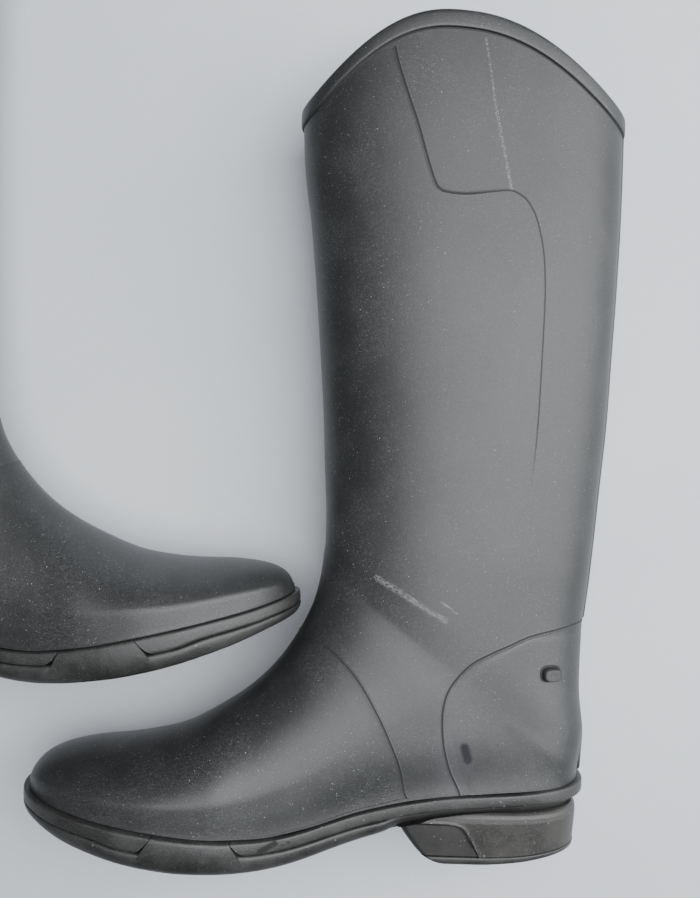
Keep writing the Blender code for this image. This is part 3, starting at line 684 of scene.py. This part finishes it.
def strip_bottom(x):
    return seat(x) - strip_height(x)


def ends(profile, x_top, x_bottom, away, sign):
    """Outline angles of a slanted end, whose lower corner turns away by some millimetres."""
    insets, shares = np.array(profile, float).T
    corner = np.clip((shares - 0.5) / 0.5, 0, 1) ** 2.5
    x = x_top + (x_bottom - x_top) * shares + away * corner
    angle = plan_angle(x, np.maximum(insets, 0.0))
    return angle if sign > 0 else 2 * math.pi - angle


def make_strips(boot):
    """Strips round the sole's edge, and the blank plate that parts them on the outer side."""
    gap = 0.3
    corner = 2.6
    front = ends(STRIP_PROFILE, PLATE_FRONT[0] + gap, PLATE_FRONT[1] + gap, corner, 1)
    around = ends(STRIP_PROFILE, INNER_JOINT + gap, INNER_JOINT - 6 + gap, 0, -1) - 2 * math.pi
    boot.piece("front_strip", sweep(STRIP_PROFILE, around, front, 330, strip_bottom),
               "sole", "sole_rubber", ("welt_front",), "lower")
    rear = ends(STRIP_PROFILE, PLATE_REAR[0] - gap, PLATE_REAR[1] - gap, -corner, 1)
    inner = ends(STRIP_PROFILE, INNER_JOINT - gap, INNER_JOINT - 6 - gap, 0, -1)
    boot.piece("rear_strip", sweep(STRIP_PROFILE, rear, inner, 330, strip_bottom), "sole",
               "sole_rubber", ("welt_rear",), "lower")
    front = ends(PLATE_PROFILE, PLATE_FRONT[0], PLATE_FRONT[1] + 5, 0, 1)
    rear = ends(PLATE_PROFILE, PLATE_REAR[0], PLATE_REAR[1] - 5, 0, 1)
    boot.piece("blank_plate", sweep(PLATE_PROFILE, front, rear, 60, underside), "sole",
               "sole_rubber", ("side_plate",), "lower")


def chevrons(x, y, pitch):
    """Depth of a tread of chevron grooves, 0 on a rib and 1 at a groove's floor."""
    wave = np.cos(2 * math.pi * (x + 0.3 * np.abs(y + 1)) / pitch)
    return np.clip(0.5 - 1.9 * (wave + 0.25), 0, 1)


def make_outsole(boot):
    """Outsole whose edge rolls under, with chevron grooves that stop short of its sides. Over the heel
    it draws back into the groove between the strip and the heel block; painted shade darkens that
    stretch and the floors of the grooves."""
    angle = ring_angles(640)
    edge = [(9.0, 0.0), (1.4, 0.0), (0.7, 0.03), (0.3, 0.09), (0.15, 0.2), (0.3, 0.38), (0.75, 0.56),
            (1.4, 0.72), (2.3, 0.86), (3.5, 0.95), (5.0, 0.99)]
    under = [(6.2 + 0.9 * i, 1.0) for i in range(32)]
    grid, shade = [], []
    for inset, share in edge + under:
        x, y = plan_points(angle, inset)
        beside_plate = smooth_step(x, 168, 176) * smooth_step(x, 220, 212) * (y > 0)
        draw_in = (4.2 * smooth_step(x, 106, 92) + 0.7 * beside_plate) * (inset < 6)
        x, y = plan_points(angle, inset + draw_in)
        top = strip_bottom(x) - 0.3
        forefoot = smooth_step(x, 132, 142) * smooth_step(x, 287, 281)
        cut = chevrons(x, y, 7.0) * forefoot * np.clip((inset - 4.5) / 1.5, 0, 1) * 1.3
        grid.append(np.stack((x, y, top + (underside(x) - top) * share + cut), axis=-1))
        # painted shade on the groove floors and in the groove over the heel
        shade.append(0.5 * cut + 0.75 * smooth_step(x, 106, 96) * (share < 0.99))
    boot.piece("outsole_unit", tube(grid), "sole", "sole_rubber", ("outsole",), "lower",
               np.concatenate(shade))


def heel_loop(level, inset, back=0.0):
    """Plan loop of the heel: up the outer side, round the back, and across its front."""
    front = float(smooth_curve(HEEL_FRONT, level)) - back
    share = np.linspace(0, 1, 150)
    x = inset + (front - inset) * (1 - np.sin(math.pi / 2 * share))
    half = np.maximum(sole_half_width(x, inset), 0)
    corner = 1 - 0.10 * np.clip(1 - (front - x) / 3.0, 0, 1) ** 2
    centre = smooth_curve(SOLE_CENTRE, x)
    outer = np.stack((x, centre + half * corner), axis=1)
    inner = np.stack((x, centre - half * corner), axis=1)[::-1]
    steps = np.linspace(-1, 1, 40)[1:-1]
    reach = half[0] * corner[0]
    face = np.stack((front + 0.6 - 2.4 * (1 - steps ** 2), centre[0] + steps * reach), axis=1)
    return np.concatenate((outer, inner[1:], face))


def panel_distance(x, z):
    """Distance from the heel panel's outline, positive inside it."""
    line = np.array(HEEL_PANEL, float)
    nearest = np.full(x.shape, 1e3)
    for a, b in zip(line[:-1], line[1:]):
        d = b - a
        t = np.clip(((x - a[0]) * d[0] + (z - a[1]) * d[1]) / (d @ d), 0, 1)
        nearest = np.minimum(nearest, np.hypot(x - a[0] - t * d[0], z - a[1] - t * d[1]))
    slanted = HEEL_PANEL[-1][0] + (z - 4.0) * 0.57
    inside = (z < np.interp(x, line[::-1, 0], line[::-1, 1])) & (x > slanted)
    return np.where(inside, nearest, -nearest)


def heel_edge(x, z):
    """The heel's bottom edge is bevelled towards the back."""
    bevel = smooth_step(x, 58, 4)
    return z * (1 - 0.4 * bevel) + 4.2 * bevel


def make_heel(boot):
    """Heel block, with a smooth sunk panel at the front of each side, and its top piece. Painted shade
    darkens the sunk panel, the top under the strip and the heel's front.
    """
    grid, shade = [], []
    for v in np.linspace(0, 1, 60):
        level = TOP_PIECE + 0.3 + (HEEL_TOP - TOP_PIECE - 0.3) * v
        inset = np.interp(level, [4, 9, 16, 21, 23.5, 25, HEEL_TOP], [3.9, 3.6, 3.1, 2.9, 3.1, 3.7, 4.8])
        loop = heel_loop(level, inset)
        x, y = loop.T
        low = heel_edge(x, TOP_PIECE) + 0.3
        top = underside(x) + 1.4 * smooth_step(x, 90, 78)
        z = np.minimum(low + (HEEL_TOP - low) * v, top)
        inside = panel_distance(x, z)
        sunk = 0.75 * smooth_step(inside, 0.0, 0.6) - 0.4 * np.exp(-((inside + 0.45) / 0.42) ** 2)
        centre = smooth_curve(SOLE_CENTRE, x)
        y = y - np.sign(y - centre) * sunk * (np.abs(y - centre) > 20)
        grid.append(np.stack((x, y, z), axis=1))
        # painted shade: the sunk panel, the top just under the strip, and more towards the front
        shade.append(0.62 * smooth_step(inside, 0.1, 0.7) + 0.5 * smooth_step(z - top, -2.5, -0.2)
                     + 0.3 * smooth_step(x, 76, 96))
    boot.piece("heel", tube(grid), "heel", "sole_rubber", ("heel_block",), "lower",
               np.clip(np.concatenate(shade), 0, 1))
    grid = []
    for inset, level in ((6.0, 4.0), (4.2, 4.0), (3.75, 3.8), (3.6, 3.4), (3.7, 2.4), (3.8, 1.4),
                         (4.1, 0.7), (4.7, 0.2), (5.6, 0.0)):
        loop = heel_loop(level, inset, 3.0 if inset > 5.8 else 0.0)
        grid.append(np.column_stack((loop, heel_edge(loop[:, 0], level))))
    rim = grid[-1][:, :2]
    middle = rim.mean(axis=0)
    for scale in np.linspace(0.97, 0.04, 26):
        x, y = (middle + (rim - middle) * scale).T
        cut = 0.9 * chevrons(x, y, 6.5) * smooth_step(scale, 0.97, 0.9)
        grid.append(np.stack((x, y, heel_edge(x, cut)), axis=1))
    boot.piece("heel_tread", tube(grid), "sole", "tread_rubber", ("heel_top_piece",), "lower")


def make_footbed(boot):
    """Loose felt-covered insole: a shallow heel cup and a soft rounded edge."""
    angle = ring_angles(260)
    base = FOOTBED_LEVEL
    profile = [(17.6, base), (16.9, base + 0.4), (16.6, base + 1.2), (16.6, base + 2.2),
               (17.0, base + 2.9), (17.8, base + 3.2)]
    profile += [(17.8 + 1.0 * i, base + 3.2) for i in range(1, 18)]
    grid = []
    for inset, level in profile:
        x, y = plan_points(angle, inset)
        cup = -0.9 * smooth_step(inset, 18.5, 27) * smooth_step(x, 95, 45)
        pad = 0.5 * np.sin(x * 0.9) * np.sin(y * 0.9) * smooth_step(inset, 19, 22) * 0.3
        grid.append(np.stack((x, y, seat(x) + level + cup + pad), axis=-1))
    footbed = boot.piece("insole_pad", tube(grid), "felt", "footbed_textile", ("footbed",), "insole")


# ---- materials

class Look:
    """A material, the place that its patterns lie in, and short ways to add nodes to it."""

    def __init__(self, name, on_boot=True, **values):
        self.material = bpy.data.materials.new(name)
        self.material.use_nodes = True
        self.tree = self.material.node_tree
        self.shader = self.tree.nodes["Principled BSDF"]
        for socket, value in values.items():
            self.shader.inputs[socket.replace("_", " ")].default_value = value
        if on_boot:
            self.place = self.node("Attribute", attribute_name="boot_mm").outputs["Vector"]
        else:
            self.place = self.node("TexCoord").outputs["Object"]

    def node(self, kind, inputs=(), **settings):
        made = self.tree.nodes.new("ShaderNode" + kind)
        for key, value in settings.items():
            setattr(made, key, value)
        for key, value in dict(inputs).items():
            self.plug(made.inputs[key], value)
        return made

    def plug(self, socket, value):
        if isinstance(value, bpy.types.NodeSocket):
            self.tree.links.new(value, socket)
        elif socket.type == "RGBA":
            socket.default_value = (*value, 1.0)
        else:
            socket.default_value = value

    def math(self, operation, a, b=0.0, clamp=False):
        return self.node("Math", {0: a, 1: b}, operation=operation,
                         use_clamp=clamp).outputs[0]

    def most(self, *masks):
        strongest = masks[0]
        for mask in masks[1:]:
            strongest = self.math("MAXIMUM", strongest, mask)
        return strongest

    def add(self, value, mask, share):
        return self.math("ADD", value, self.times(mask, share))

    def tint(self, colour, mask, share, paint):
        """Colour painted over where the mask says, at most by the given share."""
        return self.mix(self.times(mask, share), colour, paint)

    def vector(self, operation, a, b):
        made = self.node("VectorMath", {0: a, 1: b}, operation=operation)
        return made.outputs["Value" if operation in ("DOT_PRODUCT", "DISTANCE") else "Vector"]

    def remap(self, value, low, high, out_low=0.0, out_high=1.0):
        return self.node("MapRange", {"Value": value, "From Min": low, "From Max": high,
                                      "To Min": out_low, "To Max": out_high},
                         interpolation_type="SMOOTHSTEP").outputs["Result"]

    def noise(self, scale, detail=3.0, roughness=0.55, distortion=0.0, place=None):
        return self.node("TexNoise", {"Vector": place or self.place, "Scale": scale,
                                      "Detail": detail, "Roughness": roughness,
                                      "Distortion": distortion}).outputs["Fac"]

    def mapped(self, turn, scale, kind="POINT"):
        return self.node("Mapping", {"Vector": self.place, "Rotation": turn, "Scale": scale},
                         vector_type=kind).outputs["Vector"]

    def times(self, a, b):
        return self.math("MULTIPLY", a, b)

    def mix(self, factor, a, b):
        made = self.node("Mix", {"Factor": factor, 6: a, 7: b}, data_type="RGBA")
        return made.outputs[2]

    def finish(self, colour, rough, *layers):
        """The material. Its bump comes from (height, strength, distance in millimetres) layers,
        coarse ones first."""
        self.plug(self.shader.inputs["Base Color"], colour)
        self.plug(self.shader.inputs["Roughness"], rough)
        normal = None
        for height, strength, distance in layers:
            made = self.node("Bump", {"Height": height, "Strength": strength,
                                      "Distance": distance * MM})
            if normal is not None:
                self.plug(made.inputs["Normal"], normal)
            normal = made.outputs["Normal"]
        self.plug(self.shader.inputs["Normal"], normal)
        return self.material


def specks(look, scale, size, share):
    """Scattered dust grains: dots in some cells of a Voronoi pattern."""
    cells = look.node("TexVoronoi", {"Vector": look.place, "Scale": scale, "Randomness": 1.0},
                      feature="F1").outputs
    chance = look.node("SeparateColor", {"Color": cells["Color"]}).outputs
    keep = look.math("LESS_THAN", chance["Red"], share)
    dot = look.math("LESS_THAN", cells["Distance"], look.times(chance["Green"], size))
    return look.times(dot, keep)


def scratches(look, turn, scale, width, share):
    """Fine hairlines along one direction, broken up into strokes."""
    lines = look.noise(scale, 2.0, 0.6, 0.4, look.mapped(turn, (0.012, 0.09, 0.09)))
    thin = look.remap(look.math("ABSOLUTE", look.math("SUBTRACT", lines, 0.5)), 0.0, width, 1.0, 0.0)
    return look.times(thin, look.remap(look.noise(0.035, 2.0), 0.85 - share, 1.2 - share))


def stroke(look, start, end, width, streak):
    """Mark between two side-view points on the outer side, broken up by a streaky noise."""
    a, b = (start[0], 0.0, start[1]), (end[0], 0.0, end[1])
    run = (b[0] - a[0], 0.0, b[2] - a[2])
    length = run[0] ** 2 + run[2] ** 2
    flat = look.vector("MULTIPLY", look.place, (1.0, 0.0, 1.0))
    from_start = look.vector("SUBTRACT", flat, a)
    share = look.math("DIVIDE", look.vector("DOT_PRODUCT", from_start, run), length, clamp=True)
    along = look.node("VectorMath", {0: run, "Scale": share}, operation="SCALE")
    away = look.vector("DISTANCE", from_start, along.outputs["Vector"])
    near = look.remap(away, width * 0.3, width, 1.0, 0.0)
    across = look.node("SeparateXYZ", {0: look.place}).outputs["Y"]
    near = look.times(near, look.math("GREATER_THAN", across, 0.0))
    return look.times(near, look.remap(streak, 0.42, 0.62))


def with_painted_shade(look, colour, amount):
    # painted shade: colour pulled towards near black where the pieces' darkness attribute marks grooves,
    # seams and recesses
    shade = look.node("Attribute", attribute_name="painted_shade").outputs["Fac"]
    return look.tint(colour, shade, amount, (0.004, 0.004, 0.0045)), shade


def wear(look, haze, colour, rough):
    """Marks on the outer side of the worn boot: scuffs, a mould seam full of dust, a bloom and a
    smudge."""
    along_scuff = look.mapped((0.0, -0.507, 0.0), (12.0, 1.0, 1.0), "TEXTURE")
    streak = look.noise(2.2, 3.0, 0.7, place=along_scuff)
    seam = look.remap(look.noise(1.5, 2.0, 0.8), 0.42, 0.62, 0.36, 0.58)
    scuff = look.most(stroke(look, (111, 138.6), (76.6, 119.5), 2.1, streak),
                      stroke(look, (79, 128.5), (71, 123.5), 0.8, streak),
                      stroke(look, (67.2, 408.5), (60.4, 372), 0.8, seam),
                      stroke(look, (60.4, 372), (51.5, 334), 1.3, seam))
    colour = look.tint(colour, scuff, 0.5, (0.34, 0.345, 0.34))
    rough = look.add(rough, scuff, 0.2)
    bloom = stroke(look, (70, 62), (66, 36), 15.0, look.remap(haze, 0.2, 0.6, 0.45, 0.7))
    colour = look.tint(colour, bloom, 0.22, (0.085, 0.082, 0.098))
    blot = look.remap(look.noise(0.5, 2.0, 0.5), 0.3, 0.42, 0.4, 1)
    smudge = stroke(look, (65.2, 58.2), (63.4, 52.4), 3.4, blot)
    return look.tint(colour, smudge, 1.0, (0.005, 0.005, 0.010)), look.add(rough, smudge, 0.4)


def rubber_look(name, worn):
    """Satin black rubber: fine grain, dusty haze, grains of dust, hairlines and, on the worn
    boot, the marks of its outer side."""
    look = Look(name, Specular_IOR_Level=0.72, IOR=1.45)
    haze = look.noise(0.022, 4.0, 0.55, 0.3)
    cloud = look.noise(0.007, 2.0)
    grain = look.noise(1.6, 3.0, 0.6)
    fine = look.noise(4.2, 2.0, 0.6)
    colour = look.mix(look.remap(haze, 0.3, 0.72), (0.0140, 0.0150, 0.0152),
                      (0.0165, 0.0177, 0.0180))
    colour = look.mix(look.remap(cloud, 0.4, 0.8, 0.0, 0.3), colour, (0.021, 0.021, 0.0235))
    colour = look.mix(look.remap(grain, 0.42, 0.75, 0.0, 0.6), colour, (0.046, 0.048, 0.049))
    lines = look.most(scratches(look, (0.3, 0.5, 0.2), 15.0, 0.012, 0.56),
                      scratches(look, (1.1, -0.4, 0.9), 12.0, 0.01, 0.54),
                      scratches(look, (0.2, 1.3, 0.1), 18.0, 0.01, 0.5))
    dusty = look.remap(look.noise(0.018, 3.0, 0.7), 0.3, 0.75)
    dust = look.most(specks(look, 0.42, 0.11, 0.22), specks(look, 1.0, 0.19, 0.13),
                     specks(look, 2.2, 0.26, 0.12))
    dust = look.times(dust, look.math("ADD", dusty, 0.35, clamp=True))
    colour = look.tint(colour, lines, 0.6, (0.12, 0.122, 0.124))
    colour = look.tint(colour, dust, 0.85, (0.45, 0.46, 0.45))
    rough = look.add(look.remap(haze, 0.25, 0.75, 0.43, 0.45), lines, 0.12)
    rough = look.add(rough, dust, 0.3)
    if worn:
        colour, rough = wear(look, haze, colour, rough)
    colour, shade = with_painted_shade(look, colour, 0.92)
    return look.finish(colour, look.add(rough, shade, 0.3), (haze, 0.15, 0.2), (grain, 0.34, 0.15),
                       (fine, 0.3, 0.05), (lines, 0.3, 0.05), (dust, 0.5, 0.1))


def sole_look(name, tint, torn_edge):
    """Black sole rubber, scuffed and dusty, with a torn spot at the edge of the worn one."""
    look = Look(name, Specular_IOR_Level=0.6)
    haze = look.noise(0.05, 4.0, 0.6, 0.4)
    grain = look.noise(1.1, 4.0, 0.65)
    colour = look.mix(look.remap(haze, 0.3, 0.7), [0.013 * t for t in tint],
                      [0.030 * t for t in tint])
    colour = look.mix(look.remap(grain, 0.5, 0.8, 0.0, 0.6), colour, (0.075, 0.073, 0.07))
    scuffs = look.most(scratches(look, (0.0, 0.08, 0.0), 26.0, 0.02, 0.56),
                       scratches(look, (0.4, 0.5, 0.1), 34.0, 0.012, 0.5))
    dust = look.most(specks(look, 0.6, 0.2, 0.2), specks(look, 1.5, 0.22, 0.06))
    colour = look.tint(colour, scuffs, 0.4, (0.15, 0.15, 0.148))
    colour = look.tint(colour, dust, 0.6, (0.36, 0.36, 0.34))
    rough = look.add(look.remap(haze, 0.3, 0.7, 0.40, 0.52), scuffs, 0.15)
    if torn_edge:
        blot = look.noise(0.55, 2.0)
        torn = look.most(stroke(look, (162.5, 9.6), (155.5, 13.2), 2.3,
                                look.remap(blot, 0.3, 0.45, 0.3, 1)),
                         stroke(look, (152, 12.4), (149, 13.4), 1.2, blot))
        colour = look.mix(torn, colour, (0.004, 0.004, 0.004))
        rough = look.add(rough, torn, 0.3)
    colour, shade = with_painted_shade(look, colour, 0.85)
    return look.finish(colour, look.add(rough, shade, 0.2), (haze, 0.3, 0.8), (grain, 0.45, 0.2),
                       (scuffs, 0.3, 0.08))


def knit_look():
    """Dark grey knitted lining: fine ribs crossed by rows of loops."""
    look = Look("lining_knit", Sheen_Weight=0.3, Sheen_Roughness=0.5, Specular_IOR_Level=0.2)
    split = look.node("SeparateXYZ", {0: look.place}).outputs
    ribs = look.math("SINE", look.times(look.math("ADD", split[0], split[1]), 4.2))
    rows = look.math("SINE", look.times(split[2], 5.0))
    loops = look.times(ribs, rows)
    fuzz = look.noise(1.4, 4.0, 0.7)
    colour = look.mix(look.remap(loops, -0.8, 0.9), (0.035, 0.036, 0.040), (0.11, 0.112, 0.12))
    colour = look.mix(look.remap(fuzz, 0.4, 0.8, 0, 0.5), colour, (0.16, 0.16, 0.165))
    return look.finish(colour, look.remap(fuzz, 0.2, 0.8, 0.82, 0.98), (loops, 0.5, 0.35),
                       (fuzz, 0.4, 0.2))


def felt_look():
    """Grey needle felt of the insole."""
    look = Look("insole_felt", Sheen_Weight=0.25, Sheen_Roughness=0.6, Specular_IOR_Level=0.2)
    fibres = look.noise(1.1, 5.0, 0.75, 1.2)
    worn = look.noise(0.03, 2.0)
    colour = look.mix(look.remap(fibres, 0.3, 0.7), (0.09, 0.09, 0.095), (0.22, 0.22, 0.23))
    colour = look.mix(look.remap(worn, 0.5, 0.7, 0, 0.4), colour, (0.10, 0.095, 0.09))
    return look.finish(colour, look.remap(fibres, 0.3, 0.7, 0.85, 0.98), (fibres, 0.6, 0.3))


def plain_look(name, low, high, rough, metallic, stretch):
    """Hidden inner pieces: a streaked or mottled finish in the row's own coordinates."""
    look = Look(name, False, Metallic=metallic)
    pattern = look.noise(900.0, 4.0, 0.7, place=look.mapped((0, 0, 0), stretch))
    colour = look.mix(look.remap(pattern, 0.3, 0.7), low, high)
    rough = look.remap(pattern, 0.2, 0.8, rough - 0.08, rough + 0.08)
    return look.finish(colour, rough, (pattern, 0.3, 0.1))


def floor_look():
    """Pale board the boots lie on."""
    look = Look("pale_floor", False, Specular_IOR_Level=0.3)
    tone = look.noise(3.0, 4.0)
    fine = look.noise(700.0, 3.0, 0.6)
    colour = look.mix(look.remap(tone, 0.3, 0.7), (0.565, 0.595, 0.635), (0.61, 0.64, 0.67))
    colour = look.mix(look.remap(fine, 0.3, 0.7, 0, 0.25), colour, (0.52, 0.54, 0.59))
    return look.finish(colour, 0.75, (fine, 0.15, 0.1))


# ---- stage, light and camera

def add_floor():
    mesh = bpy.data.meshes.new("floor")
    corners = [(FLOOR_REACH * x, FLOOR_REACH * y, FLOOR_LEVEL)
               for x, y in ((-1, -1), (1, -1), (1, 1), (-1, 1))]
    mesh.from_pydata(corners, [], [(0, 1, 2, 3)])
    mesh.materials.append(floor_look())
    floor = bpy.data.objects.new("floor", mesh)
    bpy.context.scene.collection.objects.link(floor)


def add_light(name, place, size, power):
    """Round soft light that faces the middle of the row."""
    data = bpy.data.lights.new(name, "AREA")
    data.shape = "DISK"
    data.size = size
    data.energy = power
    data.color = LIGHT_COLOUR
    light = bpy.data.objects.new(name, data)
    light.location = place
    x, y, z = place
    light.rotation_euler = (0.0, -math.atan2(math.hypot(x, y), z), math.atan2(-y, -x))
    bpy.context.scene.collection.objects.link(light)


def add_lights():
    for light in LIGHTS:
        add_light(*light)
    world = bpy.data.worlds.new("studio")
    world.use_nodes = True
    background = world.node_tree.nodes["Background"]
    background.inputs["Color"].default_value = SKY_COLOUR
    background.inputs["Strength"].default_value = SKY_STRENGTH
    bpy.context.scene.world = world


def add_camera(boot):
    data = bpy.data.cameras.new("camera")
    data.sensor_fit = "VERTICAL"
    data.sensor_height = SENSOR
    data.lens = SENSOR * FOCAL_SHARE
    data.clip_start = 0.01
    camera = bpy.data.objects.new("camera", data)
    x, y, _ = boot.world((CAMERA_OVER[0], 0.0, CAMERA_OVER[1]))
    camera.location = (x, y, CAMERA_HEIGHT)
    camera.rotation_euler = (0.0, 0.0, CAMERA_ROLL)
    bpy.context.scene.collection.objects.link(camera)
    bpy.context.scene.camera = camera


def finish_inner_pieces():
    board = plain_look("fibre_board", (0.20, 0.155, 0.11), (0.36, 0.29, 0.21), 0.8, 0.0, (1, 1, 1))
    steel = plain_look("shank_steel", (0.42, 0.43, 0.44), (0.60, 0.61, 0.62), 0.35, 1.0, (0.05, 1, 1))
    core = plain_look("sole_core", (0.014, 0.014, 0.014), (0.03, 0.03, 0.03), 0.7, 0.0, (1, 1, 1))
    for side in ("left", "right"):
        for node, material in (("insole_board", board), ("shank", steel), ("midsole", core)):
            frame["nodes"][side + "_" + node].material_slots[0].material = material


def main():
    shared = {"lining": knit_look(), "felt": felt_look(),
              "heel": sole_look("heel_rubber", (1.15, 1.08, 0.98), False)}
    left, right = Boot("left", -1, True, shared), Boot("right", 1, False, shared)
    add_camera(left)
    add_lights()
    add_floor()
    finish_inner_pieces()
    for boot in (left, right):
        for make in (make_skin, make_lining, make_binding, make_vamp, make_counter, make_stay,
                     make_piping, make_spur_rest, make_strips, make_outsole, make_heel,
                     make_footbed):
            make(boot)


main()
